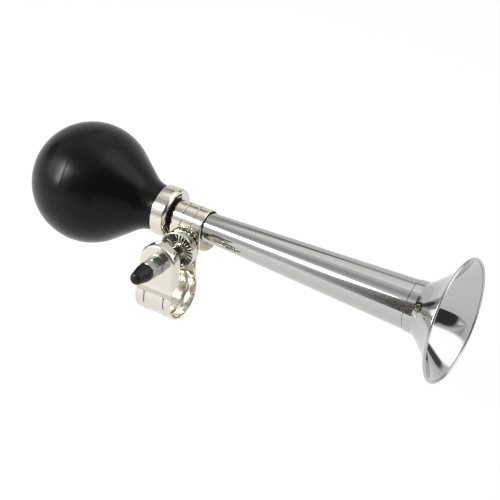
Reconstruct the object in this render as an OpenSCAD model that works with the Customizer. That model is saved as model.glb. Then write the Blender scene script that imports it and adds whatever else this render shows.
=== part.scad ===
// Bulb horn with a handlebar strap.
// The origin is the centre of the handlebar, +X runs from the bulb to the bell, +Z is up to the horn.
// The clamp bolt runs along Y, with its nuts and cap on the -Y side.

/* [Handlebar strap] */
// Diameter of the handlebar in the loop
bar_d = 22.2; // [20:0.1:25.4]
// Width of the strap along the handlebar
strap_w = 19.5; // [16:0.5:22]
// Thickness of the strap's sheet
strap_t = 1; // [0.8:0.1:1.4]
// How far the front leg stands inside the loop's radius
front_inset = 1.2; // [0.8:0.1:3]
// How far the back leg stands inside the loop's radius
back_inset = 2.2; // [1.5:0.1:3]
// Height of the bolt's axis above the top of the handlebar
pivot_clear = 7.2; // [6.5:0.1:12]
// Depth of the turned-back edge of the front ear
flange_h = 3.4; // [2:0.1:4]
// Spacing of the two pressed beads round the loop
bead_pitch = 10.8; // [8:0.2:12]
// Width of a pressed bead
bead_w = 2.2; // [1.4:0.1:3]
// Height of a pressed bead
bead_h = 0.5; // [0.3:0.05:0.7]

/* [Toothed faces] */
// Number of radial teeth on each ear
tooth_count = 24; // [16:2:28]
// Height of a tooth
tooth_h = 0.9; // [0.6:0.05:1.2]
// Width of a tooth at its foot
tooth_w = 0.85; // [0.6:0.05:0.9]
// Inner radius of the ring of teeth
tooth_in_r = 3.4; // [3.2:0.1:4]
// Radial length of a tooth
tooth_l = 5; // [3:0.1:5.1]
// Space between the slackened teeth of the two ears
tooth_gap = 0.3; // [0.3:0.05:0.8]
// Space between the back ear's edge and the collar's face
ear_clear = 0.3; // [0.2:0.05:1]
// Depth of the rim round the back ear
ear_rim_h = 2.6; // [1:0.1:3.5]
// Thickness of the rim round the back ear
ear_rim_t = 0.8; // [0.6:0.1:1]

/* [Bolt and nuts] */
// Thread diameter of the bolt
bolt_d = 5; // [4:0.5:6]
// Radial clearance of holes on the bolt
bolt_clear = 0.05; // [0.02:0.01:0.1]
// Width across flats of the head and the nuts
hex_af = 8; // [8:0.5:10]
// Height of the bolt's head
head_h = 3.5; // [2.5:0.1:4.5]
// Height of a nut
nut_h = 4; // [3.5:0.1:5.5]
// Outer diameter of the washer
washer_d = 10; // [9:0.5:14]
// Thickness of the washer
washer_t = 0.6; // [0.4:0.1:1.2]
// Length of thread past the lock nut
thread_end = 7; // [5:0.5:12]

/* [Bolt cap] */
// Diameter of the cap's open end
cap_base_d = 8.6; // [8.4:0.1:11]
// Diameter of the cap's closed end
cap_tip_d = 5.4; // [4.5:0.1:7]
// Length of the straight skirt at the open end
cap_skirt = 2; // [1:0.5:5]
// Thickness of the cap's closed end
cap_end_t = 3; // [2:0.5:7]

/* [Horn band] */
// Width of the band along the tube
band_w = 17; // [14:0.5:20]
// Thickness of the band's sheet
band_t = 1; // [0.8:0.1:1.4]
// Gap between the underside of the tube and the bolt
under_gap = 1; // [0.6:0.1:4]
// Distance between the two grooves round the band
groove_pitch = 6; // [4:0.5:8]
// Width of a groove
groove_w = 0.5; // [0.3:0.05:0.8]
// Depth of a groove
groove_depth = 0.3; // [0.15:0.05:0.4]

/* [Tube] */
// Outer diameter of the tube's straight neck
neck_d = 14; // [12:0.2:16]
// Outer diameter of the tube at the bell
tube_end_d = 23.8; // [20:0.2:28]
// Length of the cone from the band to the seam
cone_l = 107; // [80:1:140]
// Wall of the tube
tube_t = 0.7; // [0.5:0.05:1]

/* [Bell] */
// Diameter of the bell over its edge, without the rolled rim
bell_d = 57.8; // [50:0.2:66]
// Length of the flare from the seam to the edge
bell_l = 22.5; // [20:0.5:30]
// Wall of the bell
bell_t = 0.5; // [0.4:0.05:0.8]
// Length of the bell's sleeve over the tube
seam_lap = 3; // [2:0.5:8]
// Diameter of the rolled rim
rim_d = 2.2; // [1.8:0.1:3]

/* [Collar] */
// Outer diameter of the collar
collar_d = 25.2; // [24.8:0.2:28]
// Length of the collar
collar_l = 7.6; // [6:0.2:12]
// Wall of the collar
collar_t = 0.8; // [0.6:0.1:1]
// Radius of the collar's front edge
collar_edge_r = 1.6; // [1:0.1:2.5]
// Gap between the collar's face and the band
collar_gap = 1.2; // [0.4:0.1:2]

/* [Bulb] */
// Diameter of the ball
bulb_d = 59.6; // [50:0.2:70]
// Wall of the rubber
bulb_t = 3; // [2:0.1:4]
// Angle of the shoulder to the horn's axis
shoulder_angle = 36.5; // [30:0.1:45]
// Radius of the hollow between shoulder and neck
neck_hollow_r = 18; // [8:0.5:20]
// Length of straight neck behind the collar
neck_show = 1.2; // [1:0.1:6]

/* [Reed] */
// Outer diameter of the shallot
shallot_d = 7; // [6:0.1:8]
// Bore of the shallot
shallot_bore_d = 4.8; // [4:0.1:5]
// Height of the shallot's flat over its axis
flat_h = 1; // [0.6:0.1:1.4]
// Length of the trough beyond the holder
trough_l = 18; // [12:0.5:24]
// Length of tongue and flat inside the holder
root_l = 7; // [5:0.5:9]
// Thickness of the shallot's closed end
shallot_end_t = 1.5; // [1:0.1:2.5]
// Thickness of the tongue
tongue_t = 0.3; // [0.2:0.05:0.5]
// Width of the tongue
tongue_w = 5.4; // [5.2:0.1:6]
// Angle by which the tongue stands off the shallot
tongue_lift = 2; // [1:0.1:3]
// Length of the holder's stem in the bulb's neck
stem_l = 15; // [12:0.5:18]
// Thickness of the holder's flange
holder_flange_t = 1.2; // [0.8:0.1:2]
// Length of the holder's spigot in the tube
spigot_l = 6; // [4:0.5:9]

/* [Fits] */
// Radial clearance between pieces pushed together
fit_clear = 0.1; // [0.05:0.01:0.15]
// Radial clearance round the bulb's rubber neck
rubber_clear = 0.5; // [0.3:0.05:0.8]
// Radial clearance between the holder's stem and the bulb's neck
stem_clear = 0.3; // [0.3:0.05:0.5]

/* [Hidden] */
$fn = 96;
small_fn = 48;
bar_r = bar_d / 2;
bolt_r = bolt_d / 2;
bolt_hole_r = bolt_r + bolt_clear;
neck_r = neck_d / 2;
tube_end_r = tube_end_d / 2;
bell_r = bell_d / 2;
bulb_r = bulb_d / 2;
collar_r = collar_d / 2;
rim_r = rim_d / 2;
join = 0.2;
cut = 1;

// Places along the bolt, Y
front_in_y = -(bar_r - front_inset);
front_y = front_in_y - strap_t;
back_in_y = bar_r - back_inset;
back_y = back_in_y + strap_t;
band_face_y = back_y + 2 * tooth_h + tooth_gap;
band_in_r = neck_r + fit_clear;
band_out_r = band_in_r + band_t;
axis_y = band_face_y + band_out_r;
band_rear_y = axis_y + band_out_r;
washer_y = front_y - washer_t;
clamp_nut_y = washer_y - nut_h;
lock_nut_y = clamp_nut_y - nut_h;
thread_end_y = lock_nut_y - thread_end;
cap_end_y = thread_end_y - cap_end_t;

// Heights, Z
pivot_z = bar_r + pivot_clear;
axis_z = pivot_z + bolt_r + under_gap + neck_r;

// Places along the horn, X, from the bolt
band_x = band_w / 2;
collar_face_x = -band_x - collar_gap;
collar_in_x = collar_face_x - collar_t;
collar_back_x = collar_face_x - collar_l;
seam_x = band_x + cone_l;
cone_slope = (tube_end_r - neck_r) / cone_l;

// Flare of the bell: one arc that leaves the sleeve along the cone and ends at the edge
flare_start_r = tube_end_r + fit_clear + bell_t;
flare_start_angle = atan(cone_slope);
flare_chord = norm([bell_l, bell_r - flare_start_r]);
flare_chord_angle = atan2(bell_r - flare_start_r, bell_l);
flare_turn = 2 * (flare_chord_angle - flare_start_angle);
flare_r = flare_chord / (2 * sin(flare_turn / 2));
flare_x = seam_x - flare_r * sin(flare_start_angle);
flare_y = flare_start_r + flare_r * cos(flare_start_angle);

// Bulb: ball, straight shoulder, hollow and neck
rubber_r = collar_r - collar_t - rubber_clear;
neck_start_x = collar_back_x - neck_show;
hollow_len = neck_hollow_r * sin(shoulder_angle);
shoulder_low_r = rubber_r + neck_hollow_r * (1 - cos(shoulder_angle));
shoulder_len = (bulb_r * cos(shoulder_angle) - shoulder_low_r) / tan(shoulder_angle);
bulb_x = neck_start_x - hollow_len - shoulder_len - bulb_r * sin(shoulder_angle);

// Reed, from the tube's neck back into the bulb
stem_r = rubber_r - bulb_t - stem_clear;
flange_back_x = collar_in_x - holder_flange_t;
stem_end_x = flange_back_x - stem_l;
shallot_r = shallot_d / 2;
root_x = stem_end_x + root_l;
shallot_end_x = stem_end_x - trough_l;
holder_bore_r = shallot_r + fit_clear;
spigot_r = neck_r - tube_t - fit_clear;

// Strap: where the loop's outside meets the two legs
loop_out_r = bar_r + strap_t;
front_meet_z = sqrt(pow(loop_out_r, 2) - pow(front_y, 2));
back_meet_z = sqrt(pow(loop_out_r, 2) - pow(back_y, 2));
front_angle = atan2(front_meet_z, front_y);
back_angle = atan2(back_meet_z, back_y);
flange_low_z = front_meet_z + strap_t;
bead_end_angle = 3;
bead_from_angle = front_angle + bead_end_angle;
bead_to_angle = back_angle + 360 - bead_end_angle;
ear_r = strap_w / 2;
back_ear_r = band_x + collar_gap - ear_clear;

nickel = [0.78, 0.75, 0.69];
chrome = [0.72, 0.73, 0.75];
zinc = [0.62, 0.64, 0.66];
brass = [0.72, 0.56, 0.28];
rubber = [0.05, 0.05, 0.055];
cap_black = [0.08, 0.08, 0.09];

// Points of an arc, as [along, radius] pairs
function arc_points(c, r, a0, a1, steps) =
    [for (i = [0:steps]) let (a = a0 + (a1 - a0) * i / steps) [c[0] + r * cos(a), c[1] + r * sin(a)]];

// A turned piece along the horn's axis from a profile of [x, radius] points
module turned_x() {
    translate([0, axis_y, axis_z])
        rotate([0, 90, 0])
            rotate_extrude()
                rotate(90)
                    mirror([0, 1])
                        children();
}

// A plain round bar along the horn's axis
module bar_x(x0, x1, r) {
    translate([x0, axis_y, axis_z])
        rotate([0, 90, 0])
            cylinder(h = x1 - x0, r = r);
}

// A round bar along the bolt
module bar_y(y0, y1, r) {
    translate([0, y1, pivot_z])
        rotate([90, 0, 0])
            cylinder(h = y1 - y0, r = r, $fn = small_fn);
}

// A turned piece along the bolt, with its profile as [radius, distance towards -Y]
module turned_y(y) {
    translate([0, y, pivot_z])
        rotate([90, 0, 0])
            rotate_extrude($fn = small_fn)
                children();
}

// A flat outline in the XZ plane, given thickness from y0 to y1
module plate_y(y0, y1) {
    translate([0, y1, 0])
        rotate([90, 0, 0])
            linear_extrude(y1 - y0)
                children();
}

// An outline in the YZ plane, given a width along X, centred on the bolt
module strip_x(w) {
    translate([-w / 2, 0, 0])
        rotate([90, 0, 90])
            linear_extrude(w)
                children();
}

// A piece of a ring of sheet between two angles
module ring_sector(r, t, a0, a1) {
    far = 3 * r;
    steps = 8;
    intersection() {
        difference() {
            circle(r + t / 2);
            circle(r - t / 2);
        }
        polygon(concat([[0, 0]], arc_points([0, 0], far, a0, a1, steps)));
    }
}

// Radial teeth that stand on a face at y and rise towards side, 1 for +Y and -1 for -Y
module teeth(y, side) {
    for (i = [0:tooth_count - 1])
        translate([0, y, pivot_z])
            rotate([0, i * 360 / tooth_count, 0])
                translate([tooth_in_r, 0, 0])
                    rotate([90, 0, 90])
                        linear_extrude(tooth_l)
                            polygon([
                                [-side * join, -tooth_w / 2],
                                [side * tooth_h, 0],
                                [-side * join, tooth_w / 2]
                            ]);
}

// A hex with turned corners, from y0 to y1
module hex_body(y0, y1) {
    corner_r = hex_af / sqrt(3);
    chamfer = (corner_r - hex_af / 2) / 2;
    h = y1 - y0;
    intersection() {
        translate([0, y1, pivot_z])
            rotate([90, 0, 0])
                cylinder(h = h, r = corner_r, $fn = 6);
        turned_y(y1)
            polygon([
                [0, 0],
                [hex_af / 2, 0],
                [corner_r, chamfer],
                [corner_r, h - chamfer],
                [hex_af / 2, h],
                [0, h]
            ]);
    }
}

// Front ear and leg seen along the bolt, with a round top
module ear_outline(r, low_z) {
    translate([0, pivot_z])
        circle(r);
    translate([-r, low_z])
        square([2 * r, pivot_z - low_z]);
}

// Back ear and leg seen along the bolt: a smaller round that widens to the strap below the bolt
module back_ear_outline(low_z) {
    wide_z = pivot_z - back_ear_r;
    translate([0, pivot_z])
        circle(back_ear_r);
    polygon([
        [-ear_r, low_z],
        [ear_r, low_z],
        [ear_r, wide_z],
        [back_ear_r, pivot_z],
        [-back_ear_r, pivot_z],
        [-ear_r, wide_z]
    ]);
}

// Outline of the bulb at a depth below its skin, from the axis at the back to the neck's mouth
module bulb_outline(depth, mouth_x) {
    ball_r = bulb_r - depth;
    hollow_r = neck_hollow_r + depth;
    mouth_r = rubber_r - depth;
    ball_steps = 40;
    hollow_steps = 10;
    polygon(concat(
        [[mouth_x, 0]],
        arc_points([bulb_x, 0], ball_r, 180, 90 - shoulder_angle, ball_steps),
        arc_points([neck_start_x, mouth_r + hollow_r], hollow_r, 270 - shoulder_angle, 270, hollow_steps),
        [[mouth_x, mouth_r]]
    ));
}

module bulb() {
    color(rubber)
        difference() {
            turned_x()
                bulb_outline(0, flange_back_x);
            turned_x()
                bulb_outline(bulb_t, flange_back_x + cut);
        }
}

module bulb_collar() {
    lip_r = collar_t / 2;
    lip_x = collar_back_x + lip_r;
    edge_x = collar_face_x - collar_edge_r;
    steps = 8;
    color(nickel)
        difference() {
            turned_x()
                polygon(concat(
                    [[collar_back_x, 0]],
                    arc_points([lip_x, collar_r - lip_r], lip_r, 180, 90, steps),
                    arc_points([edge_x, collar_r - collar_edge_r], collar_edge_r, 90, 0, steps),
                    [[collar_face_x, 0]]
                ));
            bar_x(collar_back_x - cut, collar_in_x, collar_r - collar_t);
            bar_x(collar_in_x - cut, collar_face_x + cut, neck_r + fit_clear);
        }
}

module reed_holder() {
    flange_r = rubber_r - fit_clear;
    color(brass)
        difference() {
            union() {
                bar_x(stem_end_x, flange_back_x, stem_r);
                bar_x(flange_back_x, collar_in_x, flange_r);
                bar_x(collar_in_x, collar_in_x + spigot_l, spigot_r);
            }
            bar_x(stem_end_x - cut, flange_back_x, holder_bore_r);
            bar_x(flange_back_x - cut, collar_in_x + spigot_l + cut, shallot_bore_d / 2);
        }
}

module reed_shallot() {
    color(brass)
        difference() {
            bar_x(shallot_end_x, flange_back_x, shallot_r);
            bar_x(shallot_end_x + shallot_end_t, flange_back_x + cut, shallot_bore_d / 2);
            translate([shallot_end_x - cut, axis_y - shallot_r, axis_z + flat_h])
                cube([root_x - shallot_end_x + cut, shallot_d, shallot_r]);
        }
}

module reed_tongue() {
    end_lap = shallot_end_t / 2;
    free_l = trough_l - end_lap;
    rise = free_l * tan(tongue_lift);
    low_z = axis_z + flat_h;
    tip_x = stem_end_x - free_l;
    root_end_x = root_x - fit_clear;
    color(brass)
        plate_y(axis_y - tongue_w / 2, axis_y + tongue_w / 2)
            polygon([
                [tip_x, low_z + rise],
                [stem_end_x, low_z],
                [root_end_x, low_z],
                [root_end_x, low_z + tongue_t],
                [stem_end_x, low_z + tongue_t],
                [tip_x, low_z + rise + tongue_t]
            ]);
}

module reed_wedge() {
    low_z = axis_z + flat_h + tongue_t;
    color(brass)
        intersection() {
            bar_x(stem_end_x, root_x - fit_clear, shallot_r);
            translate([stem_end_x - cut, axis_y - shallot_r, low_z])
                cube([root_l + 2 * cut, shallot_d, shallot_r]);
        }
}

module horn_tube() {
    in_r = neck_r - tube_t;
    end_in_r = tube_end_r - tube_t;
    color(chrome)
        turned_x()
            polygon([
                [collar_in_x, in_r],
                [band_x, in_r],
                [seam_x, end_in_r],
                [seam_x, tube_end_r],
                [band_x, neck_r],
                [collar_in_x, neck_r]
            ]);
}

module bell() {
    a0 = flare_start_angle - 90;
    a1 = a0 + flare_turn;
    flare_steps = 24;
    lap_r = flare_start_r - seam_lap * cone_slope;
    edge = [flare_x + flare_r * cos(a1), flare_y + flare_r * sin(a1)];
    color(chrome)
        union() {
            turned_x()
                polygon(concat(
                    [[seam_x - seam_lap, lap_r - bell_t], [seam_x - seam_lap, lap_r]],
                    arc_points([flare_x, flare_y], flare_r, a0, a1, flare_steps),
                    arc_points([flare_x, flare_y], flare_r + bell_t, a1, a0, flare_steps)
                ));
            turned_x()
                translate(edge)
                    circle(rim_r, $fn = small_fn);
        }
}

module horn_band() {
    low_z = pivot_z - band_x;
    color(nickel)
        difference() {
            union() {
                intersection() {
                    strip_x(band_w)
                        difference() {
                            union() {
                                translate([axis_y, axis_z])
                                    circle(band_out_r);
                                translate([axis_y - band_out_r, low_z])
                                    square([2 * band_out_r, axis_z - low_z]);
                            }
                            translate([axis_y, axis_z])
                                circle(band_in_r);
                            translate([axis_y - band_in_r, low_z - cut])
                                square([2 * band_in_r, axis_z - low_z + cut]);
                        }
                    plate_y(axis_y - 2 * band_out_r, axis_y + 2 * band_out_r) {
                        translate([0, pivot_z])
                            circle(band_x);
                        translate([-band_x, pivot_z])
                            square([band_w, axis_z + band_out_r - pivot_z + cut]);
                    }
                }
                teeth(band_face_y, -1);
            }
            bar_y(band_face_y - tooth_h - cut, band_rear_y + cut, bolt_hole_r);
            for (x = [-groove_pitch / 2, groove_pitch / 2])
                difference() {
                    bar_x(x - groove_w / 2, x + groove_w / 2, band_out_r + cut);
                    bar_x(x - groove_w, x + groove_w, band_out_r - groove_depth);
                    translate([x - groove_w, axis_y - 2 * band_out_r, axis_z - 3 * band_out_r])
                        cube([2 * groove_w, 4 * band_out_r, 3 * band_out_r]);
                }
        }
}

// Side view of the strap: the loop, the short front leg below its ear and the back leg with its ear
module strap_outline() {
    difference() {
        union() {
            circle(loop_out_r);
            translate([front_y, 0])
                square([bar_r, flange_low_z + join]);
            square([back_y, pivot_z + ear_r]);
        }
        circle(bar_r);
        translate([front_in_y, 0])
            square([back_in_y - front_in_y, pivot_z + ear_r + cut]);
    }
}

// Two ribs along the loop, used for the raised beads and for their hollows inside
module bead_ribs(face_r) {
    for (x = [-bead_pitch / 2, bead_pitch / 2])
        translate([x, 0, 0])
            strip_x(bead_w)
                ring_sector(face_r, 2 * bead_h, bead_from_angle, bead_to_angle);
}

module handlebar_strap() {
    low_z = -loop_out_r - cut;
    color(nickel)
        difference() {
            union() {
                intersection() {
                    strip_x(strap_w + 2 * cut)
                        strap_outline();
                    plate_y(front_y - 2 * bar_r, back_y + 2 * bar_r)
                        back_ear_outline(low_z);
                }
                bead_ribs(loop_out_r);
                difference() {
                    plate_y(front_y, front_in_y + flange_h)
                        ear_outline(ear_r, flange_low_z);
                    plate_y(front_in_y, front_in_y + flange_h + cut)
                        ear_outline(ear_r - strap_t, flange_low_z - cut);
                }
                teeth(back_y, 1);
                teeth(back_in_y, -1);
                difference() {
                    bar_y(back_in_y - ear_rim_h, back_in_y + join, back_ear_r);
                    bar_y(back_in_y - ear_rim_h - cut, back_in_y + cut, back_ear_r - ear_rim_t);
                }
            }
            bead_ribs(bar_r);
            strip_x(strap_w + 2 * cut)
                circle(bar_r);
            bar_y(front_y - cut, back_y + tooth_h + cut, bolt_hole_r);
        }
}

module pivot_bolt() {
    tip = 0.6;
    color(zinc)
        union() {
            hex_body(band_rear_y, band_rear_y + head_h);
            turned_y(band_rear_y + join)
                polygon([
                    [0, 0],
                    [bolt_r, 0],
                    [bolt_r, band_rear_y + join - thread_end_y - tip],
                    [bolt_r - tip, band_rear_y + join - thread_end_y],
                    [0, band_rear_y + join - thread_end_y]
                ]);
        }
}

module clamp_washer() {
    color(zinc)
        difference() {
            bar_y(washer_y, front_y, washer_d / 2);
            bar_y(washer_y - cut, front_y + cut, bolt_hole_r);
        }
}

// A hex nut whose outer face is at y
module nut(y) {
    color(zinc)
        difference() {
            hex_body(y, y + nut_h);
            bar_y(y - cut, y + nut_h + cut, bolt_hole_r);
        }
}

module clamp_nut() {
    nut(clamp_nut_y);
}

module lock_nut() {
    nut(lock_nut_y);
}

module bolt_cap() {
    base_r = cap_base_d / 2;
    tip_r = cap_tip_d / 2;
    cap_l = lock_nut_y - cap_end_y;
    round_share = 0.8;
    round_start = 10;
    round_r = tip_r * round_share;
    steps = 8;
    color(cap_black)
        difference() {
            turned_y(lock_nut_y)
                polygon(concat(
                    [[0, 0], [base_r, 0], [base_r, cap_skirt], [tip_r, cap_l - round_r]],
                    arc_points([tip_r - round_r, cap_l - round_r], round_r, round_start, 90, steps),
                    [[0, cap_l]]
                ));
            bar_y(thread_end_y - fit_clear, lock_nut_y + cut, bolt_hole_r);
        }
}

bulb();
bulb_collar();
reed_holder();
reed_shallot();
reed_tongue();
reed_wedge();
horn_tube();
bell();
horn_band();
handlebar_strap();
pivot_bolt();
clamp_washer();
clamp_nut();
lock_nut();
bolt_cap();
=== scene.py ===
import math

import bmesh
import bpy
from mathutils import Matrix, Vector


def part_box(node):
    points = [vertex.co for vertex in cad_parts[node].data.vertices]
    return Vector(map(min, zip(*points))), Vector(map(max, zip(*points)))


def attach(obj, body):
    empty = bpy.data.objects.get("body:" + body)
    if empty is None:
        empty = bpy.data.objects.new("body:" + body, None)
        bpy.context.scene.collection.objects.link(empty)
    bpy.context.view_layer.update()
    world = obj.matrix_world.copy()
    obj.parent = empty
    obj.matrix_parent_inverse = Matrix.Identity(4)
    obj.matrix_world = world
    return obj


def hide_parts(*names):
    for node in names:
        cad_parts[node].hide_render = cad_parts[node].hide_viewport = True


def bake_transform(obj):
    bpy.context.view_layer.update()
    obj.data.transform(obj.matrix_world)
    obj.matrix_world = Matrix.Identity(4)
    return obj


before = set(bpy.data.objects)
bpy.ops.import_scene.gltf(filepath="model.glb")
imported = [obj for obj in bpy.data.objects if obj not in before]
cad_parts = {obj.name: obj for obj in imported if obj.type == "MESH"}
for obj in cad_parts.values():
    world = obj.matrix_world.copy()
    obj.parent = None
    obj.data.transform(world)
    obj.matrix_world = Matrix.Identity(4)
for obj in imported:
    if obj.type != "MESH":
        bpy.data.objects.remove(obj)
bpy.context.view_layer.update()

mm = 0.001  # the pieces are written in mm, the frame is in metres
onAxis = 1e-6  # a radius in mm below this is the axis itself
weldGap = 2e-7  # metres, points nearer than this become one
crispDeg = 32  # edges sharper than this stay crisp, unless the piece says otherwise


def nodeBox(node):
    low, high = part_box(node)
    return Vector(low) / mm, Vector(high) / mm


bulbLow, bulbHigh = nodeBox("bulb")
collarLow, collarHigh = nodeBox("bulb_collar")
tubeLow, tubeHigh = nodeBox("horn_tube")
bellLow, bellHigh = nodeBox("bell")
bandLow, bandHigh = nodeBox("horn_band")
strapLow, strapHigh = nodeBox("handlebar_strap")
boltLow, boltHigh = nodeBox("pivot_bolt")
washerLow, washerHigh = nodeBox("clamp_washer")
capLow, capHigh = nodeBox("bolt_cap")
axisY = (bulbLow.y + bulbHigh.y) / 2  # middle line of the horn
axisZ = (bulbLow.z + bulbHigh.z) / 2
pivotZ = (washerLow.z + washerHigh.z) / 2  # height of the clamp bolt
print("frame loaded, horn axis at", round(axisY, 2), round(axisZ, 2), "bolt at", round(pivotZ, 2))


def aroundHorn(along, radius, angle):
    return (along, axisY + radius * math.cos(angle), axisZ + radius * math.sin(angle))


def aroundBolt(along, radius, angle):
    return (radius * math.cos(angle), along, pivotZ + radius * math.sin(angle))


def fromAxis(p):
    return math.hypot(p.y - axisY, p.z - axisZ)


def arc(centre, radius, fromDeg, toDeg, steps):
    turns = [math.radians(fromDeg + (toDeg - fromDeg) * i / steps) for i in range(steps + 1)]
    return [(centre[0] + radius * math.cos(t), centre[1] + radius * math.sin(t)) for t in turns]


def ramp(value, low, high):  # eases from 0 to 1
    t = min(1, max(0, (value - low) / (high - low)))
    return t * t * (3 - 2 * t)


def softened(corners, closed, steps):  # corners are (along, radius, rounding)
    line = []
    count = len(corners)
    for i, (a, r, bend) in enumerate(corners):
        here = Vector((a, r))
        if bend <= 0 or (not closed and i in (0, count - 1)):
            line.append((a, r))
            continue
        toLast = (Vector(corners[i - 1][:2]) - here).normalized()
        toNext = (Vector(corners[(i + 1) % count][:2]) - here).normalized()
        half = toLast.angle(toNext) / 2
        start = here + toLast * bend / math.tan(half)
        end = here + toNext * bend / math.tan(half)
        middle = here + (toLast + toNext).normalized() * bend / math.sin(half)
        for k in range(steps + 1):  # swing from the first tangent point to the second
            spoke = (start - middle).lerp(end - middle, k / steps).normalized() * bend
            line.append((middle.x + spoke.x, middle.y + spoke.y))
    return line


def spin(line, closed, place, segments):
    points, faces, rows = [], [], []
    for along, radius in line:
        if radius < onAxis:
            rows.append([len(points)])
            points.append(place(along, 0, 0))
        else:
            rows.append(list(range(len(points), len(points) + segments)))
            points += [place(along, radius, 2 * math.pi * k / segments) for k in range(segments)]
    pairs = list(zip(rows, rows[1:]))
    if closed:
        pairs.append((rows[-1], rows[0]))
    for low, high in pairs:
        for k in range(segments):
            n = (k + 1) % segments
            if len(low) == 1:
                faces.append((low[0], high[n], high[k]))
            elif len(high) == 1:
                faces.append((low[k], low[n], high[0]))
            else:
                faces.append((low[k], low[n], high[n], high[k]))
    return points, faces


def rings(count, steps):  # faces of a closed tube of rings, each with the same number of points
    faces = []
    for i in range(count):
        low, high = i * steps, (i + 1) % count * steps
        for k in range(steps):
            n = (k + 1) % steps
            faces.append((low + k, low + n, high + n, high + k))
    return faces


def joined(*shells):
    points, faces = [], []
    for shellPoints, shellFaces in shells:
        base = len(points)
        points += shellPoints
        faces += [tuple(base + i for i in f) for f in shellFaces]
    return points, faces


def meshFrom(name, shell):
    points, faces = shell
    mesh = bpy.data.meshes.new(name)
    mesh.from_pydata([Vector(p) * mm for p in points], [], faces)
    work = bmesh.new()
    work.from_mesh(mesh)
    bmesh.ops.remove_doubles(work, verts=work.verts, dist=weldGap)
    bmesh.ops.recalc_face_normals(work, faces=work.faces)
    work.to_mesh(mesh)
    work.free()
    return mesh


def drilled(name, shell, drill):
    solid = bpy.data.objects.new(name + "Blank", meshFrom(name, shell))
    tool = bpy.data.objects.new(name + "Drill", meshFrom(name + "Drill", drill))
    for item in (solid, tool):
        bpy.context.scene.collection.objects.link(item)
    bore = solid.modifiers.new("bore", "BOOLEAN")
    bore.object = tool
    bore.operation = "DIFFERENCE"
    bore.solver = "EXACT"
    bpy.context.view_layer.update()
    bored = solid.evaluated_get(bpy.context.evaluated_depsgraph_get())
    mesh = bpy.data.meshes.new_from_object(bored)
    for item in (solid, tool):
        bpy.data.objects.remove(item)
    return mesh


def withShells(mesh, *shells):  # adds pressed-up shells to a drilled sheet
    extra = meshFrom(mesh.name + "Extra", joined(*shells))
    work = bmesh.new()
    work.from_mesh(mesh)
    work.from_mesh(extra)
    work.to_mesh(mesh)
    work.free()


def finished(piece, mesh):
    mesh.polygons.foreach_set("use_smooth", [True] * len(mesh.polygons))
    mesh.set_sharp_from_angle(angle=math.radians(piece.get("sharp", crispDeg)))
    mesh.materials.clear()
    mesh.materials.append(looks[piece["look"]])
    for number, (lookName, holds) in enumerate(piece.get("marks", []), 1):  # faces with another material: painted shade, or a duller finish
        mesh.materials.append(looks[lookName])
        for face in mesh.polygons:
            if holds(face.center / mm):
                face.material_index = number
    shown = bpy.data.objects.new(piece["name"], mesh)
    bpy.context.scene.collection.objects.link(shown)
    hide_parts(piece["node"])
    if "body" in piece:
        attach(shown, piece["body"])
    return shown


surface = {"shine": 0.5, "grainDetail": 4, "grainLift": 0.0002,
           "cloudDetail": 5, "cloudFrom": 0.35, "cloudTo": 0.7, "glossier": 0.75, "duller": 1.35,
           "speckEdge": 0.05, "speckCore": 0.02, "speckColour": (0.07, 0.07, 0.07)}


def makeLook(name, spec):
    look = bpy.data.materials.new(name)
    look.use_nodes = True
    nodes, links = look.node_tree.nodes, look.node_tree.links
    shader = nodes["Principled BSDF"]
    shader.inputs["Base Color"].default_value = (*spec["colour"], 1)
    shader.inputs["Metallic"].default_value = spec["metal"]
    shader.inputs["Roughness"].default_value = spec["rough"]
    shader.inputs["Specular IOR Level"].default_value = spec.get("shine", surface["shine"])
    place = nodes.new("ShaderNodeTexCoord")
    if "grain" in spec:  # fine unevenness of the surface
        grain = nodes.new("ShaderNodeTexNoise")
        grain.inputs["Scale"].default_value = spec["grain"]
        grain.inputs["Detail"].default_value = surface["grainDetail"]
        bump = nodes.new("ShaderNodeBump")
        bump.inputs["Strength"].default_value = spec["depth"]
        bump.inputs["Distance"].default_value = surface["grainLift"]
        links.new(place.outputs["Object"], grain.inputs["Vector"])
        links.new(grain.outputs["Fac"], bump.inputs["Height"])
        links.new(bump.outputs["Normal"], shader.inputs["Normal"])
    if "wear" in spec:  # cloudy change of gloss
        cloud = nodes.new("ShaderNodeTexNoise")
        cloud.inputs["Scale"].default_value = spec["wear"]
        cloud.inputs["Detail"].default_value = surface["cloudDetail"]
        spread = nodes.new("ShaderNodeMapRange")
        spread.inputs["From Min"].default_value = surface["cloudFrom"]
        spread.inputs["From Max"].default_value = surface["cloudTo"]
        spread.inputs["To Min"].default_value = spec["rough"] * surface["glossier"]
        spread.inputs["To Max"].default_value = spec["rough"] * surface["duller"]
        links.new(place.outputs["Object"], cloud.inputs["Vector"])
        links.new(cloud.outputs["Fac"], spread.inputs["Value"])
        links.new(spread.outputs["Result"], shader.inputs["Roughness"])
    if "dust" in spec:  # a few pale specks
        specks = nodes.new("ShaderNodeTexVoronoi")
        specks.inputs["Scale"].default_value = spec["dust"]
        near = nodes.new("ShaderNodeMapRange")
        near.inputs["From Min"].default_value = surface["speckEdge"]
        near.inputs["From Max"].default_value = surface["speckCore"]
        tint = nodes.new("ShaderNodeMix")
        tint.data_type = "RGBA"
        tint.inputs["A"].default_value = (*spec["colour"], 1)
        tint.inputs["B"].default_value = (*surface["speckColour"], 1)
        links.new(place.outputs["Object"], specks.inputs["Vector"])
        links.new(specks.outputs["Distance"], near.inputs["Value"])
        links.new(near.outputs["Result"], tint.inputs["Factor"])
        links.new(tint.outputs["Result"], shader.inputs["Base Color"])
    return look


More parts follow.
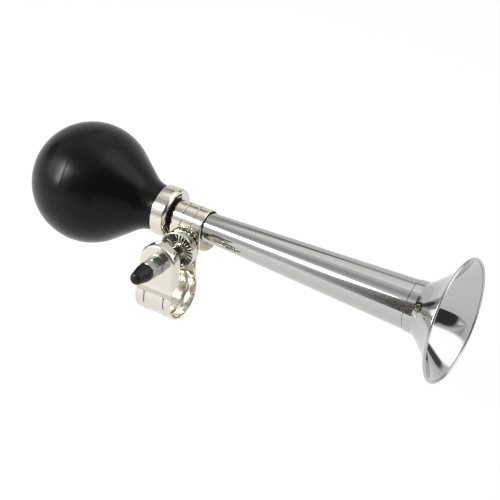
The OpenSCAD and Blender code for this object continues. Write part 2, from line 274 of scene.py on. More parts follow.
nickelColour = (0.685, 0.65, 0.57)
lookSpecs = {
    "rubber": {"colour": (0.003, 0.003, 0.0027), "metal": 0, "rough": 0.25, "shine": 0.16,
               "grain": 900, "depth": 0.08, "dust": 210},
    "nickel": {"colour": nickelColour, "metal": 1, "rough": 0.105, "wear": 160},
    "nickelDull": {"colour": nickelColour, "metal": 1, "rough": 0.24, "wear": 160},
    "chrome": {"colour": (0.475, 0.48, 0.47), "metal": 1, "rough": 0.05, "wear": 90},
    "zinc": {"colour": (0.42, 0.435, 0.425), "metal": 1, "rough": 0.2, "wear": 300},
    "brass": {"colour": (0.62, 0.44, 0.18), "metal": 1, "rough": 0.25, "wear": 200},
    "cap": {"colour": (0.005, 0.005, 0.0045), "metal": 0, "rough": 0.34, "shine": 0.24,
            "grain": 700, "depth": 0.06},
    # painted shade: a near-black colour laid on faces in gaps, creases and grooves where shade falls
    "paintedShade": {"colour": (0.022, 0.018, 0.014), "metal": 0, "rough": 0.55, "shine": 0.2,
                "grain": 500, "depth": 0.2},
}
looks = {name: makeLook(name, spec) for name, spec in lookSpecs.items()}
print("materials made")


bulb = {"name": "bulb_rubber", "node": "bulb", "slot": "rubber", "look": "rubber", "sharp": 60,
        "wall": 3, "neckR": 11.3, "neckShow": 1.2, "shoulderDeg": 36.5, "hollowR": 18, "pressInset": 3,
        "ridge": 0.07, "ridgeWidth": 0.25, "ridgeReach": 1.2, "ridgeSteps": 14,
        "ballSteps": 110, "hollowSteps": 18, "segments": 160}
ballR = (bulbHigh.y - bulbLow.y) / 2
ballX = bulbLow.x + ballR
neckX = collarLow.x - bulb["neckShow"]


def bulbLine(depth):
    ball = ballR - depth
    hollow = bulb["hollowR"] + depth
    neck = bulb["neckR"] - depth
    shoulder = bulb["shoulderDeg"]
    line = arc((ballX, 0), ball, 180, 90 - shoulder, bulb["ballSteps"])
    line[0] = (ballX - ball, 0)
    line += arc((neckX, neck + hollow), hollow, 270 - shoulder, 270, bulb["hollowSteps"])
    return line + [(bulbHigh.x, neck)]


def mouldLine():  # the fine flash line where the two halves of the mould met
    count = bulb["ridgeSteps"]
    steps = [bulb["ridgeReach"] * k / count for k in range(-count, count + 1)]
    rise = [bulb["ridge"] * math.exp(-((s / bulb["ridgeWidth"]) ** 2)) for s in steps]
    return [(ballX + s, math.sqrt(ballR ** 2 - s ** 2) + r) for s, r in zip(steps, rise)]


bulbOut = bulbLine(0)
bulbSkin = [p for p in bulbOut if p[0] < ballX - bulb["ridgeReach"]] + mouldLine()
bulbSkin += [p for p in bulbOut if p[0] > ballX + bulb["ridgeReach"]]
bulbShell = spin(bulbSkin + bulbLine(bulb["wall"])[::-1], False, aroundHorn, bulb["segments"])
bulbShown = finished(bulb, meshFrom("bulb", bulbShell))
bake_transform(bulbShown)
print("bulb made")


hornSegments = 192  # round the collar, the tube and the bell

collar = {"name": "collar_cup", "node": "bulb_collar", "slot": "nickel", "look": "nickel", "body": "horn",
          "wall": 0.8, "bore": 7.1, "edge": 1.6, "lip": 0.35, "boreEdge": 0.2, "floorEdge": 0.5,
          # the three values after the edge steps place the painted shade in the slot
          "edgeSteps": 16, "shadeR": 10.6, "shadeLift": 0.1, "shadeSide": 3, "ringIn": 8.9, "ringOut": 9.4}
collarR = (collarHigh.y - collarLow.y) / 2
cupR = collarR - collar["wall"]
collarBack, collarFace = collarLow.x, collarHigh.x
collarFloor = collarFace - collar["wall"]
collarLine = [(collarBack, cupR, collar["lip"]), (collarBack, collarR, collar["lip"]),
              (collarFace, collarR, collar["edge"]), (collarFace, collar["shadeR"], 0),
              (collarFace, collar["ringOut"], 0), (collarFace, collar["ringIn"], 0),
              (collarFace, collar["bore"], collar["boreEdge"]), (collarFloor, collar["bore"], 0),
              (collarFloor, cupR, collar["floorEdge"])]
collarRound = softened(collarLine, True, collar["edgeSteps"])


def collarGapShade(p):  # painted shade in the slot between collar and band, on the front side, but for a ring left in plain nickel
    r = fromAxis(p)
    inSlot = p.x > collarFloor + collar["shadeLift"] and p.y < axisY + collar["shadeSide"]
    return inSlot and r < collar["shadeR"] and not collar["ringIn"] < r < collar["ringOut"]


collar["marks"] = [("paintedShade", collarGapShade)]
finished(collar, meshFrom("collar", spin(collarRound, True, aroundHorn, hornSegments)))

tube = {"name": "tube_cone", "node": "horn_tube", "slot": "chrome", "look": "chrome", "body": "horn",
        # the fourth and fifth values below place the painted shade beyond the band and under the sleeve
        "neckR": 7, "wall": 0.7, "past": 7, "shadePast": 0.25, "shadeAtSeam": 4.55, "steps": 12}
coneFrom = bandHigh.x  # the cone starts where the band ends
coneSlope = ((tubeHigh.y - tubeLow.y) / 2 - tube["neckR"]) / (tubeHigh.x - coneFrom)
tubeEndX = tubeHigh.x + tube["past"]  # a little longer than the solid, as the photo shows it
seamShadeX = tubeEndX - tube["shadeAtSeam"]
coneXs = [coneFrom + (tubeEndX - coneFrom) * i / tube["steps"] for i in range(tube["steps"] + 1)]
coneXs.insert(1, coneFrom + tube["shadePast"])
coneXs.insert(-1, seamShadeX)


def coneR(x):  # straight neck, then the cone
    return tube["neckR"] + max(0, x - coneFrom) * coneSlope


def tubeEdgeShade(p):  # painted shade lines at the band's edge and under the bell's sleeve
    covered = p.x < coneFrom + tube["shadePast"] or p.x > seamShadeX
    return covered and fromAxis(p) > coneR(p.x) - tube["wall"] / 2


tubeOut = [(x, coneR(x)) for x in [tubeLow.x] + coneXs]
tubeIn = [(x, r - tube["wall"]) for x, r in tubeOut[::-1]]
tube["marks"] = [("paintedShade", tubeEdgeShade)]
finished(tube, meshFrom("tube", spin(tubeOut + tubeIn, True, aroundHorn, hornSegments)))

bell = {"name": "bell_flare", "node": "bell", "slot": "chrome", "look": "chrome", "body": "horn",
        "sleeve": 4.2, "fit": 0.06, "wall": 0.36, "edge": 0.12, "slack": 0.05, "startDeg": 35,
        "rimR": 0.7, "rimClear": 1.02, "flareSteps": 60, "curlSteps": 26}
seamX = tubeEndX
seamR = coneR(tubeEndX) + bell["fit"] + bell["wall"]
edgeX = bellHigh.x - bell["rimR"]
edgeR = (bellHigh.y - bellLow.y) / 2 - bell["rimR"]
chordDeg = math.degrees(math.atan2(edgeR - seamR, edgeX - seamX))
flareDeg = 2 * (chordDeg - bell["startDeg"])
flareR = math.hypot(edgeX - seamX, edgeR - seamR) / (2 * math.sin(math.radians(flareDeg / 2)))
startTurn = math.radians(bell["startDeg"])
flareMid = (seamX - flareR * math.sin(startTurn), seamR + flareR * math.cos(startTurn))


def flareSkin(depth):  # one arc from the seam up to the rolled rim
    fromDeg = bell["startDeg"] - 90
    skin = arc(flareMid, flareR + depth, fromDeg, fromDeg + flareDeg, bell["flareSteps"])
    return [p for p in skin if math.dist(p, (edgeX, edgeR)) > bell["rimR"] * bell["rimClear"]]


def rimAngle(point):
    return math.degrees(math.atan2(point[1] - edgeR, point[0] - edgeX)) % 360


skinOut, skinIn = flareSkin(0), flareSkin(bell["wall"])
curlFrom, curlTo = rimAngle(skinOut[-1]), rimAngle(skinIn[-1])
if curlTo > curlFrom:
    curlTo -= 360
curl = arc((edgeX, edgeR), bell["rimR"], curlFrom, curlTo, bell["curlSteps"])
sleeveX = seamX - bell["sleeve"]
sleeveR = seamR - coneSlope * bell["sleeve"]
sleeve = [(sleeveX, sleeveR - bell["wall"] + bell["slack"]), (sleeveX, sleeveR - bell["edge"]),
          (sleeveX + bell["edge"], sleeveR)]
bellLine = sleeve + skinOut + curl + skinIn[::-1]
finished(bell, meshFrom("bell", spin(bellLine, True, aroundHorn, hornSegments)))
print("horn made")


# path rows are (y, z, inward y, inward z), section points are (side, depth)
def bentStrip(path, sectionAt, rays):
    points, faces = [], []
    sections = [sectionAt(i) for i in range(len(path))]
    count = len(sections[0])

    def put(x, y, z):
        points.append((x, y, z))
        return len(points) - 1

    rights, lefts = [], []
    for (y, z, ny, nz), section in zip(path, sections):
        right = [put(s, y + ny * d, z + nz * d) for s, d in section]
        left = [right[0]]
        left += [put(-s, y + ny * d, z + nz * d) for s, d in section[1:-1]]
        left.append(right[-1])
        rights.append(right)
        lefts.append(left)
    for side in (rights, lefts):
        for one, two in zip(side, side[1:]):
            faces += [(one[k], one[k + 1], two[k + 1], two[k]) for k in range(count - 1)]
    for end, step in ((0, 1), (len(path) - 1, -1)):  # half-round ends about the bolt
        y, z, ny, nz = path[end]
        away = 1 if z > path[end + step][1] else -1
        spokes = [rights[end]]
        for j in range(1, rays):
            t = math.pi * j / rays
            row = [rights[end][0]]
            for s, d in sections[end][1:-1]:
                row.append(put(s * math.cos(t), y + ny * d, z + nz * d + away * s * math.sin(t)))
            row.append(rights[end][-1])
            spokes.append(row)
        spokes.append(lefts[end])
        for one, two in zip(spokes, spokes[1:]):
            faces += [(one[k], one[k + 1], two[k + 1], two[k]) for k in range(1, count - 2)]
            faces += [(one[0], one[1], two[1]), (one[-1], two[-2], one[-2])]
    return points, faces


def smoothPath(line, times):
    for _ in range(times):
        middle = [((a[0] + 2 * b[0] + c[0]) / 4, (a[1] + 2 * b[1] + c[1]) / 4)
                  for a, b, c in zip(line[1:], line[2:], line[3:])]
        line = line[:2] + middle + line[-1:]
    return line


def withNormals(line, hand):
    rows = []
    for i, (y, z) in enumerate(line):
        before, after = line[max(i - 1, 0)], line[min(i + 1, len(line) - 1)]
        size = math.dist(before, after)
        alongY, alongZ = (after[0] - before[0]) / size, (after[1] - before[1]) / size
        rows.append((y, z, -alongZ * hand, alongY * hand))
    return rows


def evenSteps(a, b, step):
    count = max(2, round(math.dist(a, b) / step))
    return [(a[0] + (b[0] - a[0]) * i / count, a[1] + (b[1] - a[1]) * i / count)
            for i in range(count + 1)]


teeth = {"count": 24, "height": 0.9, "inner": 3, "outer": 8.6, "runOut": 0.7, "sunk": 0.3,
         "rows": 14, "perTooth": 10}


def ridgedRing(face, rise, outer):  # a pressed ring of radial ridges on a flat face
    inner, runOut = teeth["inner"], teeth["runOut"]
    radii = [inner + (outer - inner) * i / teeth["rows"] for i in range(teeth["rows"] + 1)]
    steps = teeth["count"] * teeth["perTooth"]
    points = []
    for r in radii:
        ends = ramp(r, inner, inner + runOut) * (1 - ramp(r, outer - runOut, outer))
        for k in range(steps):
            a = 2 * math.pi * k / steps
            crest = 1 - abs((a * teeth["count"] / math.pi) % 2 - 1)
            points.append(aroundBolt(face + rise * crest * ends, r, a))
    base = face - math.copysign(teeth["sunk"], rise)
    for r in (outer, inner):
        points += [aroundBolt(base, r, 2 * math.pi * k / steps) for k in range(steps)]
    return points, rings(len(radii) + 2, steps)


boltR = 2.5
boltFit = 0.05
holeR = boltR + boltFit
drillReach = 40
drillSides = 48
drillLine = [(-drillReach, 0), (-drillReach, holeR), (drillReach, holeR), (drillReach, 0)]
boltHole = spin(drillLine, False, aroundBolt, drillSides)

strap = {"name": "strap_pressed", "node": "handlebar_strap", "slot": "nickel", "look": "nickel",
         "body": "strap",
         "thick": 1, "edge": 0.3, "loopR": 12.1, "backY": 9.9, "backHalf": 9.4, "widenFrom": 9,
         "lip": 4.6, "lipBend": 1.4, "lipFrom": 5.2, "lipFull": 9.5, "fillet": 0.5,
         "bendSteps": 7, "edgeSteps": 4,
         "beadAt": 5.4, "beadHalf": 1.1, "beadHeight": 0.3, "beadFlat": 0.45, "beadSteps": 6,
         "beadFront": (1.7, 2.9), "beadBack": (6.6, 8.4),  # heights over which a bead fades out
         # the foot and root values place the painted shade at the beads and the teeth
         "footLow": -3.6, "footIn": 0.6, "footOut": 0.95, "dullTop": 9,
         "rootLow": 0.01, "rootHigh": 0.3, "rootIn": 3.6, "rootOut": 8,
         "rimDepth": 2.6, "rimWall": 0.8, "rimSunk": 0.2, "rimEdge": 0.38, "rimSteps": 5, "rimSides": 120,
         "midSides": (0, 1.4, 2.8), "edgeSides": (7.4, 8),
         "step": 0.45, "loopSteps": 120, "smoothing": 14, "rays": 40}
strapHalf = (strapHigh.x - strapLow.x) / 2
frontY = washerHigh.y  # face of the front ear, under the washer
frontMeet = math.degrees(math.acos(frontY / strap["loopR"]))
backMeet = math.degrees(math.acos(strap["backY"] / strap["loopR"]))
loop = arc((0, 0), strap["loopR"], frontMeet, backMeet + 360, strap["loopSteps"])
strapLine = evenSteps((frontY, pivotZ), (frontY, loop[0][1]), strap["step"])[:-1] + loop
strapLine += evenSteps((strap["backY"], loop[-1][1]), (strap["backY"], pivotZ), strap["step"])[1:]
strapPath = withNormals(smoothPath(strapLine, strap["smoothing"]), 1)
beadSteps = strap["beadSteps"]
beadSides = [strap["beadAt"] + strap["beadHalf"] * k / beadSteps
             for k in range(-beadSteps, beadSteps + 1)]
strapSides = [*strap["midSides"], *beadSides, *strap["edgeSides"]]


def strapSection(i):
    y, z = strapPath[i][:2]
    front = y < 0
    thick, edge = strap["thick"], strap["edge"]
    lip = strap["lip"] * ramp(z, strap["lipFrom"], strap["lipFull"]) if front else 0
    bend = edge + (strap["lipBend"] - edge) * lip / strap["lip"]
    half = strapHalf
    if not front:
        half += (strap["backHalf"] - strapHalf) * ramp(z, strap["widenFrom"], pivotZ)
    bead = 1 - ramp(z, *strap["beadFront" if front else "beadBack"])
    wall = half - thick  # inner side of the turned-in lip
    tip = min(edge, lip / 2)
    fillet = min(strap["fillet"], lip / 2)
    faceOut, faceIn = [], []
    for s in strapSides:
        near = abs(s - strap["beadAt"]) / strap["beadHalf"]
        lift = strap["beadHeight"] * bead * (1 - ramp(near, strap["beadFlat"], 1))
        faceOut.append((s, -lift))
        faceIn.append((s, thick - lift))
    turnOut = arc((half - bend, bend), bend, -90, 0, strap["bendSteps"])
    lipEnd = arc((half - edge, thick + lip - edge), edge, 0, 90, strap["edgeSteps"])
    lipEnd += arc((wall + tip, thick + lip - tip), tip, 90, 180, strap["edgeSteps"])
    turnIn = arc((wall - fillet, thick + fillet), fillet, 0, -90, strap["edgeSteps"])
    return faceOut + turnOut + lipEnd + turnIn + faceIn[::-1]


def creaseShade(p):  # painted shade along one foot of each bead on the front, and in the roots of the teeth on the back ear
    if p.y < 0:
        side = p.x - math.copysign(strap["beadAt"], p.x)
        onBead = strap["footLow"] < p.z < strap["beadFront"][0]
        return onBead and strap["footIn"] < side < strap["footOut"]
    low = strap["rootLow"] < backIn - p.y < strap["rootHigh"]
    return low and strap["rootIn"] < math.hypot(p.x, p.z - pivotZ) < strap["rootOut"]


def insideLoop(p):  # the loop's inner side is rubbed dull
    return p.z < strap["dullTop"] and math.hypot(p.y, p.z) < strap["loopR"] - strap["thick"] / 2


strap["marks"] = [("paintedShade", creaseShade), ("nickelDull", insideLoop)]
backIn = strap["backY"] - strap["thick"]
rimIn = strap["backHalf"] - strap["rimWall"]
rimFoot = backIn + strap["rimSunk"]
rimFar = backIn - strap["rimDepth"]
backRim = [(rimFoot, rimIn, 0), (rimFoot, strap["backHalf"], 0),
           (rimFar, strap["backHalf"], strap["rimEdge"]), (rimFar, rimIn, strap["rimEdge"])]
rimShell = spin(softened(backRim, True, strap["rimSteps"]), True, aroundBolt, strap["rimSides"])
teethIn = ridgedRing(backIn, -teeth["height"], teeth["outer"])
teethOut = ridgedRing(strap["backY"], teeth["height"], teeth["outer"])
strapMesh = drilled("strap", bentStrip(strapPath, strapSection, strap["rays"]), boltHole)
withShells(strapMesh, rimShell, teethIn, teethOut)
finished(strap, strapMesh)
print("strap made")


band = {"name": "band_saddle", "node": "horn_band", "slot": "nickel", "look": "nickel", "body": "horn",
        "thick": 1, "edge": 0.25, "flare": 0.6, "flareLong": 1.2, "legFlare": 0.1, "flareDrop": 3,
        "grooveAt": 3, "grooveHalf": 0.34, "grooveDepth": 0.42, "grooveFlat": 0.2, "grooveSteps": 5,
        # two values below set how deep and how far down the painted shade reaches
        "pressFrom": -0.5, "pressFull": 0.8, "shadeDepth": 0.36, "shadeDrop": 3, "teethOut": 8.3,
        "midSides": (0, 1.4), "edgeSides": (4.2, 5.6, 7),
        "step": 0.5, "archSteps": 72, "edgeSteps": 4, "rays": 36}
bandHalf = (bandHigh.x - bandLow.x) / 2
bandR = bandHigh.z - axisZ
bandFace = axisY - bandR
bandRear = axisY + bandR
bandLine = evenSteps((bandFace, pivotZ), (bandFace, axisZ), band["step"])[:-1]
bandLine += arc((axisY, axisZ), bandR, 180, 0, band["archSteps"])
bandLine += evenSteps((bandRear, axisZ), (bandRear, pivotZ), band["step"])[1:]
bandPath = withNormals(bandLine, -1)
grooveSteps = band["grooveSteps"]
grooveSides = [band["grooveAt"] + band["grooveHalf"] * k / grooveSteps
               for k in range(-grooveSteps, grooveSteps + 1)]
bandSides = [*band["midSides"], *grooveSides, *band["edgeSides"]]


def bandSection(i):
    z = bandPath[i][1]
    thick, edge = band["thick"], band["edge"]
    press = ramp(z, axisZ + band["pressFrom"], axisZ + band["pressFull"])
    opened = ramp(z, axisZ - band["flareDrop"], axisZ)  # inner edge, where the tube leaves
    flare = band["legFlare"] + (band["flare"] - band["legFlare"]) * opened
    faceOut = []
    for s in bandSides:
        near = abs(s - band["grooveAt"]) / band["grooveHalf"]
        faceOut.append((s, band["grooveDepth"] * press * (1 - ramp(near, band["grooveFlat"], 1))))
    rim = arc((bandHalf - edge, edge), edge, -90, 0, band["edgeSteps"])
    rim += [(bandHalf, thick - flare), (bandHalf - band["flareLong"], thick)]
    return faceOut + rim + [(s, thick) for s in bandSides[::-1]]


def bandGapShade(p):  # painted shade in the grooves, and on the inner side that hugs the tube
    depth = bandR - (fromAxis(p) if p.z > axisZ else abs(p.y - axisY))
    return depth > band["shadeDepth"] and p.z > axisZ - band["shadeDrop"]


band["marks"] = [("paintedShade", bandGapShade)]
bandMesh = drilled("band", bentStrip(bandPath, bandSection, band["rays"]), boltHole)
withShells(bandMesh, ridgedRing(bandFace, -teeth["height"], band["teethOut"]))
finished(band, bandMesh)
print("band made")


hexForm = {"steps": 144, "levels": (0, 0.08, 0.2, 0.35, 0.55, 0.75), "land": 0.02, "chamferDeg": 55}


def hexShell(fromY, toY, flats, bore, turnDeg):
    steps, levels = hexForm["steps"], hexForm["levels"]
    ys = [fromY + v for v in levels] + [toY - v for v in levels[::-1]]
    slope = math.tan(math.radians(hexForm["chamferDeg"]))
    points = []
    for y in ys:
        cone = flats / 2 + hexForm["land"] + min(y - fromY, toY - y) * slope  # chamfered corners
        for k in range(steps):
            a = 2 * math.pi * k / steps
            flat = flats / 2 / math.cos(math.radians((math.degrees(a) + turnDeg) % 60 - 30))
            points.append(aroundBolt(y, min(flat, cone), a))
    for y in (toY, fromY):
        points += [aroundBolt(y, bore, 2 * math.pi * k / steps) for k in range(steps)]
    return points, rings(len(ys) + 2, steps)


def threadedShank(fromY, threadY, toY, thread):
    segments = thread["segments"]
    count = int((threadY - toY) / thread["rowGap"])
    threadYs = [threadY - (threadY - toY) * i / count for i in range(count + 1)]
    points = [aroundBolt(fromY, boltR, 2 * math.pi * k / segments) for k in range(segments)]
    for y in threadYs:
        runIn = ramp(threadY - y, 0, thread["runIn"])
        tip = thread["tip"] * (1 - min(1, (y - toY) / thread["tip"]))
        for k in range(segments):
            wave = abs((((threadY - y) / thread["pitch"] + k / segments) % 1) * 2 - 1)
            radius = boltR - thread["depth"] * runIn * wave - tip
            points.append(aroundBolt(y, radius, 2 * math.pi * k / segments))
    rows = count + 2
    faces = rings(rows, segments)[:-segments]
    faces.append(tuple(range(segments)))
    faces.append(tuple(range((rows - 1) * segments, rows * segments)))
    return points, faces


bolt = {"name": "bolt_zinc", "node": "pivot_bolt", "slot": "zinc", "look": "zinc", "body": "horn",
        "sharp": 28, "headH": 3.5, "flats": 8, "plugR": 1, "sunk": 0.2, "threadIn": 0.4,
        "thread": {"pitch": 0.8, "depth": 0.4, "tip": 0.6, "runIn": 0.8, "rowGap": 0.1, "segments": 36}}
headFrom, headTo, plugR = boltHigh.y - bolt["headH"], boltHigh.y, bolt["plugR"]
head = hexShell(headFrom, headTo, bolt["flats"], plugR, 0)
plugLine = [(headFrom, 0), (headFrom, plugR), (headTo, plugR), (headTo, 0)]
headPlug = spin(plugLine, False, aroundBolt, hexForm["steps"])
shank = threadedShank(headFrom + bolt["sunk"], frontY + bolt["threadIn"], boltLow.y, bolt["thread"])
finished(bolt, meshFrom("bolt", joined(head, headPlug, shank)))

washer = {"name": "washer_ring", "node": "clamp_washer", "slot": "zinc", "look": "zinc", "body": "washer",
          "outEdge": 0.15, "inEdge": 0.1, "edgeSteps": 3, "segments": 96}
washerR = (washerHigh.x - washerLow.x) / 2
washerLine = [(washerLow.y, holeR, 0), (washerLow.y, washerR, washer["outEdge"]),
              (washerHigh.y, washerR, washer["inEdge"]), (washerHigh.y, holeR, 0)]
washerRound = softened(washerLine, True, washer["edgeSteps"])
finished(washer, meshFrom("washer", spin(washerRound, True, aroundBolt, washer["segments"])))

for nutName, nutNode in (("nut_inner", "clamp_nut"), ("nut_outer", "lock_nut")):
    nut = {"name": nutName, "node": nutNode, "slot": "zinc", "look": "zinc", "body": "nuts", "sharp": 28,
           "turnDeg": 30}
    nutLow, nutHigh = nodeBox(nutNode)
    finished(nut, meshFrom(nutName, hexShell(nutLow.y, nutHigh.y, bolt["flats"], holeR, nut["turnDeg"])))

cap = {"name": "cap_black", "node": "bolt_cap", "slot": "cap", "look": "cap", "body": "cap", "sharp": 50,
       "skirt": 2.2, "tipR": 2.7, "gap": 0.1, "mouthEdge": 0.35, "skirtBend": 2.5, "tipBend": 2,
       "edgeSteps": 9, "segments": 72}
capR = (capHigh.x - capLow.x) / 2
capEnd = boltLow.y - cap["gap"]  # bottom of its blind hole
capLine = [(capEnd, 0, 0), (capEnd, holeR, 0), (capHigh.y, holeR, 0), (capHigh.y, capR, cap["mouthEdge"]),
           (capHigh.y - cap["skirt"], capR, cap["skirtBend"]), (capLow.y, cap["tipR"], cap["tipBend"]),
           (capLow.y, 0, 0)]
capRound = softened(capLine, False, cap["edgeSteps"])
finished(cap, meshFrom("cap", spin(capRound, False, aroundBolt, cap["segments"])))
print("bolt, nuts and cap made")

for nodeName in ("reed_holder", "reed_shallot", "reed_tongue", "reed_wedge"):
    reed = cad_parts[nodeName]
    reed.data.materials.clear()
    reed.data.materials.append(looks["brass"])
print("reed dressed")


sheet = {"rough": 0.9, "shine": 0.1}


def stageSheet(name, corners, colour):
    mesh = bpy.data.meshes.new(name)
    mesh.from_pydata(corners, [], [tuple(range(len(corners)))])
    look = bpy.data.materials.new(name)
    look.use_nodes = True
    shader = look.node_tree.nodes["Principled BSDF"]
    shader.inputs["Base Color"].default_value = (*colour, 1)
    shader.inputs["Roughness"].default_value = sheet["rough"]
    shader.inputs["Specular IOR Level"].default_value = sheet["shine"]
    mesh.materials.append(look)
    shown = bpy.data.objects.new(name, mesh)
    bpy.context.scene.collection.objects.link(shown)
    return shown


def makeSelfLit(look, amount):  # pale to the camera and in the metal, with the shadow kept
    nodes, links = look.node_tree.nodes, look.node_tree.links
    seen = nodes.new("ShaderNodeLightPath")
    either = nodes.new("ShaderNodeMath")
    either.operation = "MAXIMUM"
    part = nodes.new("ShaderNodeMath")
    part.operation = "MULTIPLY"
    part.inputs[1].default_value = amount
    pale = nodes.new("ShaderNodeEmission")
    mix = nodes.new("ShaderNodeMixShader")
    links.new(seen.outputs["Is Camera Ray"], either.inputs[0])
    links.new(seen.outputs["Is Glossy Ray"], either.inputs[1])
    links.new(either.outputs[0], part.inputs[0])
    links.new(part.outputs[0], mix.inputs["Fac"])
    links.new(nodes["Principled BSDF"].outputs["BSDF"], mix.inputs[1])
    links.new(pale.outputs["Emission"], mix.inputs[2])
    links.new(mix.outputs["Shader"], nodes["Material Output"].inputs["Surface"])


def makeThin(look, spec):  # lets light through in blotches and towards one end
    nodes, links = look.node_tree.nodes, look.node_tree.links
    place = nodes.new("ShaderNodeTexCoord")
    blotch = nodes.new("ShaderNodeTexNoise")
    blotch.inputs["Scale"].default_value = spec["scale"]
    blotch.inputs["Detail"].default_value = spec["detail"]
    spread = nodes.new("ShaderNodeMapRange")
    spread.inputs["From Min"].default_value = spec["blotchFrom"]
    spread.inputs["From Max"].default_value = spec["blotchTo"]
    spread.inputs["To Min"].default_value = 1
    spread.inputs["To Max"].default_value = spec["least"]
    split = nodes.new("ShaderNodeSeparateXYZ")
    fade = nodes.new("ShaderNodeMapRange")
    fade.inputs["From Min"].default_value = spec["fadeFrom"]
    fade.inputs["From Max"].default_value = spec["fadeTo"]
    both = nodes.new("ShaderNodeMath")
    both.operation = "MULTIPLY"
    links.new(place.outputs["Object"], blotch.inputs["Vector"])
    links.new(place.outputs["Object"], split.inputs["Vector"])
    links.new(blotch.outputs["Fac"], spread.inputs["Value"])
    links.new(split.outputs["X"], fade.inputs["Value"])
    links.new(spread.outputs["Result"], both.inputs[0])
    links.new(fade.outputs["Result"], both.inputs[1])
    links.new(both.outputs[0], nodes["Principled BSDF"].inputs["Alpha"])


floor = {"under": 2, "reach": 6, "colour": (0.93, 0.93, 0.93), "selfLit": 0.65}
floorZ = (pivotZ - bellHigh.x - floor["under"]) * mm  # clear of the bell when the horn is swung down
reach = floor["reach"]
floorCorners = [(-reach, -reach, floorZ), (reach, -reach, floorZ),
                (reach, reach, floorZ), (-reach, reach, floorZ)]
floorShown = stageSheet("floor", floorCorners, floor["colour"])
makeSelfLit(floorShown.active_material, floor["selfLit"])

# a dark card that only the metal sees, in metres
flag = {"y": -0.15, "low": -0.0127, "left": -0.03, "bend": -0.002, "right": 0.066,
        "topLeft": 0.078, "topBend": 0.102, "topRight": 0.27, "colour": (0.1, 0.09, 0.08),
        "thin": {"scale": 240, "detail": 6, "blotchFrom": 0.5, "blotchTo": 0.68, "least": 0.35,
                 "fadeFrom": -0.03, "fadeTo": 0.04}}
flagOutline = [(flag["left"], flag["low"]), (flag["right"], flag["low"]),
               (flag["right"], flag["topRight"]), (flag["bend"], flag["topBend"]),
               (flag["left"], flag["topLeft"])]
flagCorners = [(x, flag["y"], z) for x, z in flagOutline]
flagShown = stageSheet("flag", flagCorners, flag["colour"])
makeThin(flagShown.active_material, flag["thin"])
flagShown.visible_camera = False
flagShown.visible_diffuse = False
flagShown.visible_shadow = False

studio = {
    # brightness of the room round the horn, by degrees up from the front
    "bands": [(-180, 0.84), (-90, 0.6), (-3, 0.58), (9, 0.72), (21, 0.95), (33, 1.1), (45, 1.0),
              (55, 0.6), (67, 0.5), (75, 0.66), (83, 0.88), (92, 0.86), (98, 0.62), (110, 0.6),
              (124, 0.5), (133, 0.8), (160, 0.84), (180, 0.84)],
    # soft spots in it: direction, degrees of its core, degrees of its edge, brightness
    "patches": [((0.88, -0.42, 0.22), 16, 22, 0.05), ((0.62, -0.71, 0.33), 12, 19, 0.07),
                ((0.7, -0.36, 0.61), 13, 18, 0.06), ((0.42, -0.75, 0.5), 10, 26, 0.15),
                ((0.05, -0.97, 0.2), 10, 27, 0.17), ((0.48, 0.84, 0.27), 9, 13, 0.1),
                ((-0.93, 0.12, 0.27), 8, 14, 0.1), ((-0.41, 0.63, 0.66), 2, 8, 0.2),
                ((-0.78, -0.52, 0.34), 5, 22, 3.4), ((0.78, 0.4, 0.48), 22, 28, 2.1),
                ((0.5, 0.22, 0.84), 13, 20, 1.9)],
    "top": 2.5}
world = bpy.data.worlds.new("studio")
bpy.context.scene.world = world
world.use_nodes = True
nodes, links = world.node_tree.nodes, world.node_tree.links
nodes.clear()
place = nodes.new("ShaderNodeTexCoord")
split = nodes.new("ShaderNodeSeparateXYZ")
flip = nodes.new("ShaderNodeMath")
flip.operation = "MULTIPLY"
flip.inputs[1].default_value = -1
angle = nodes.new("ShaderNodeMath")
angle.operation = "ARCTAN2"
share = nodes.new("ShaderNodeMath")  # full turn to 0 to 1
share.operation = "MULTIPLY_ADD"
share.inputs[1].default_value = 1 / (2 * math.pi)
share.inputs[2].default_value = 0.5
links.new(place.outputs["Generated"], split.inputs["Vector"])
links.new(split.outputs["Y"], flip.inputs[0])
links.new(split.outputs["Z"], angle.inputs[0])
links.new(flip.outputs[0], angle.inputs[1])
links.new(angle.outputs[0], share.inputs[0])
bands = nodes.new("ShaderNodeValToRGB")
stops = bands.color_ramp.elements
for i, (deg, level) in enumerate(studio["bands"]):
    at = (deg + 180) / 360
    stop = stops[i] if i < 2 else stops.new(at)  # a new ramp has two stops
    stop.position = at
    stop.color = (*[level / studio["top"]] * 3, 1)
links.new(share.outputs[0], bands.inputs["Fac"])
room = bands.outputs["Color"]
for direction, coreDeg, edgeDeg, level in studio["patches"]:
    facing = nodes.new("ShaderNodeVectorMath")
    facing.operation = "DOT_PRODUCT"
    facing.inputs[1].default_value = Vector(direction).normalized()
    edge = nodes.new("ShaderNodeMapRange")
    edge.interpolation_type = "SMOOTHSTEP"
    edge.inputs["From Min"].default_value = math.cos(math.radians(edgeDeg))
    edge.inputs["From Max"].default_value = math.cos(math.radians(coreDeg))
    patch = nodes.new("ShaderNodeMix")
    patch.data_type = "RGBA"
    patch.inputs["B"].default_value = (*[level / studio["top"]] * 3, 1)
    links.new(place.outputs["Generated"], facing.inputs[0])
    links.new(facing.outputs["Value"], edge.inputs["Value"])
    links.new(edge.outputs["Result"], patch.inputs["Factor"])
    links.new(room, patch.inputs["A"])
    room = patch.outputs["Result"]
glow = nodes.new("ShaderNodeBackground")
glow.inputs["Strength"].default_value = studio["top"]
white = nodes.new("ShaderNodeBackground")
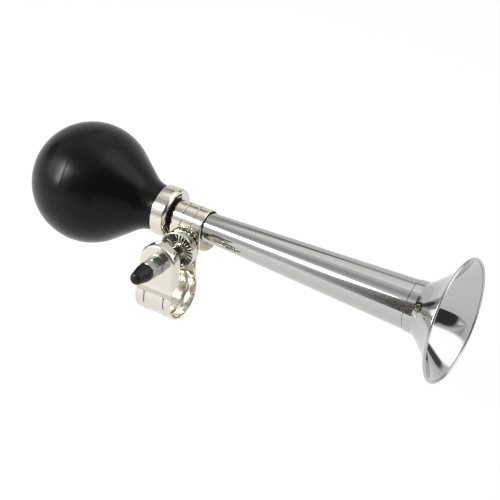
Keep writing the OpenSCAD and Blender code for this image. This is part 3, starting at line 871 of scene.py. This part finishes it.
white.inputs["Color"].default_value = (1, 1, 1, 1)
path = nodes.new("ShaderNodeLightPath")
choice = nodes.new("ShaderNodeMixShader")
out = nodes.new("ShaderNodeOutputWorld")
links.new(room, glow.inputs["Color"])
links.new(path.outputs["Is Camera Ray"], choice.inputs["Fac"])
links.new(glow.outputs["Background"], choice.inputs[1])
links.new(white.outputs["Background"], choice.inputs[2])
links.new(choice.outputs["Shader"], out.inputs["Surface"])

lampAim = (0.02, 0.02, 0.02)  # metres, near the clamp
lamps = {
    "keyBox": {"spot": (-0.394, -0.474, 0.405), "wide": 0.39, "high": 0.2, "power": 1.45},
    "stripBox": {"spot": (-0.51, -0.58, 0.33), "wide": 0.1, "high": 0.42, "power": 3.8},
    "topBox": {"spot": (0.1, 0.35, 1.1), "wide": 1.4, "high": 0.9, "power": 2.2},
}
for lampName, box in lamps.items():
    lamp = bpy.data.lights.new(lampName, "AREA")
    lamp.shape = "RECTANGLE"
    lamp.size = box["wide"]
    lamp.size_y = box["high"]
    lamp.energy = box["power"]
    lampShown = bpy.data.objects.new(lampName, lamp)
    aimed = (Vector(lampAim) - Vector(box["spot"])).to_track_quat("-Z", "Y").to_matrix().to_4x4()
    lampShown.matrix_world = Matrix.Translation(box["spot"]) @ aimed
    bpy.context.scene.collection.objects.link(lampShown)
print("studio made")

view = {"lens": 129.6, "sensor": 36, "near": 0.01, "far": 50, "spot": (0.37825, -0.63354, 0.43925),
        "right": (0.8515, 0.5148, 0.1001), "up": (-0.3287, 0.3752, 0.8667),
        "back": (0.4086, -0.7709, 0.4887)}
scene = bpy.context.scene
scene.view_settings.view_transform = "Standard"
lens = bpy.data.cameras.new("camera")
lens.lens = view["lens"]
lens.sensor_width = view["sensor"]
lens.clip_start = view["near"]
lens.clip_end = view["far"]
camera = bpy.data.objects.new("camera", lens)
cameraTurn = Matrix((view["right"], view["up"], view["back"])).transposed().to_4x4()
camera.matrix_world = Matrix.Translation(view["spot"]) @ cameraTurn
scene.collection.objects.link(camera)
scene.camera = camera
print("camera set")
